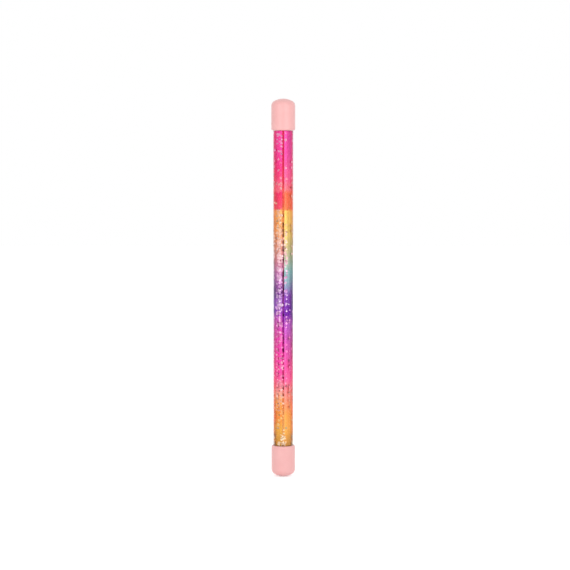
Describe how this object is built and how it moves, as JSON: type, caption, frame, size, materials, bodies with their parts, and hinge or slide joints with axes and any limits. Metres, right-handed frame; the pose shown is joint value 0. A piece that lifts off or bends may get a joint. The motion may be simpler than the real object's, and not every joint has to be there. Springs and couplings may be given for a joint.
{
  "type": "liquid-filled glitter wand",
  "caption": "Straight round toy wand: a clear liquid-filled tube with drifting glitter and star sequins round a rainbow-film core, closed by soft pink crowned caps at both ends.",
  "frame": {"origin": "tip of the lower cap, on the wand's axis", "axes": "+Z along the wand from the lower cap to the upper cap; the film's seam faces -Y"},
  "size_m": [0.0192, 0.0192, 0.305],
  "materials": {
    "cap_plastic": "satin moulded soft pink",
    "clear_acrylic": "polished clear",
    "core_plastic": "extruded, satin",
    "rainbow_film": "metallised rainbow print",
    "seam_strip": "dark adhesive strip",
    "clear_liquid": "clear liquid",
    "gold_flakes": "metallised flakes",
    "pink_flakes": "metallised flakes",
    "pearl_flakes": "pearl metallised flakes",
    "star_sequins": "pearl metallised sequins",
    "plug_plastic": "moulded, satin",
    "seal_rubber": "soft translucent rubber"
  },
  "bodies": {
    "wand": {"lower_cap": "cap_plastic", "lower_plug": "plug_plastic", "lower_seal_ring": "seal_rubber", "clear_tube": "clear_acrylic", "core_tube": "core_plastic", "rainbow_film": "rainbow_film", "seam_strip": "seam_strip", "upper_seal_ring": "seal_rubber", "upper_plug": "plug_plastic", "upper_cap": "cap_plastic"},
    "liquid": {"liquid_fill": "clear_liquid"},
    "settled_drift": {"settled_glitter": "gold_flakes"},
    "low_drift": {"low_glitter": "pink_flakes"},
    "middle_drift": {"middle_glitter": "pearl_flakes"},
    "high_drift": {"high_glitter": "pink_flakes"},
    "front_star_lane": {"front_stars": "star_sequins"},
    "right_star_lane": {"right_stars": "star_sequins"},
    "back_star_lane": {"back_stars": "star_sequins"},
    "left_star_lane": {"left_stars": "star_sequins"}
  },
  "joints": [
    {"name": "liquid_swirl", "type": "hinge", "parent": "wand", "child": "liquid", "pos_m": [0, 0, 0.1525], "axis": [0, 0, 1], "continuous": true},
    {"name": "settled_drift_sink", "type": "slide", "parent": "liquid", "child": "settled_drift", "axis": [0, 0, 1], "range_m": [0, 0.155], "deforming": ["liquid_fill"]},
    {"name": "low_drift_sink", "type": "slide", "parent": "liquid", "child": "low_drift", "axis": [0, 0, 1], "range_m": [-0.0274, 0.1278], "deforming": ["liquid_fill"]},
    {"name": "middle_drift_sink", "type": "slide", "parent": "liquid", "child": "middle_drift", "axis": [0, 0, 1], "range_m": [-0.0898, 0.0653], "deforming": ["liquid_fill"]},
    {"name": "high_drift_sink", "type": "slide", "parent": "liquid", "child": "high_drift", "axis": [0, 0, 1], "range_m": [-0.1495, 0.0057], "deforming": ["liquid_fill"]},
    {"name": "front_star_sink", "type": "slide", "parent": "liquid", "child": "front_star_lane", "axis": [0, 0, 1], "range_m": [0, 0.2445], "deforming": ["liquid_fill"]},
    {"name": "right_star_sink", "type": "slide", "parent": "liquid", "child": "right_star_lane", "axis": [0, 0, 1], "range_m": [0, 0.2445], "deforming": ["liquid_fill"]},
    {"name": "back_star_sink", "type": "slide", "parent": "liquid", "child": "back_star_lane", "axis": [0, 0, 1], "range_m": [0, 0.2445], "deforming": ["liquid_fill"]},
    {"name": "left_star_sink", "type": "slide", "parent": "liquid", "child": "left_star_lane", "axis": [0, 0, 1], "range_m": [0, 0.2445], "deforming": ["liquid_fill"]}
  ]
}
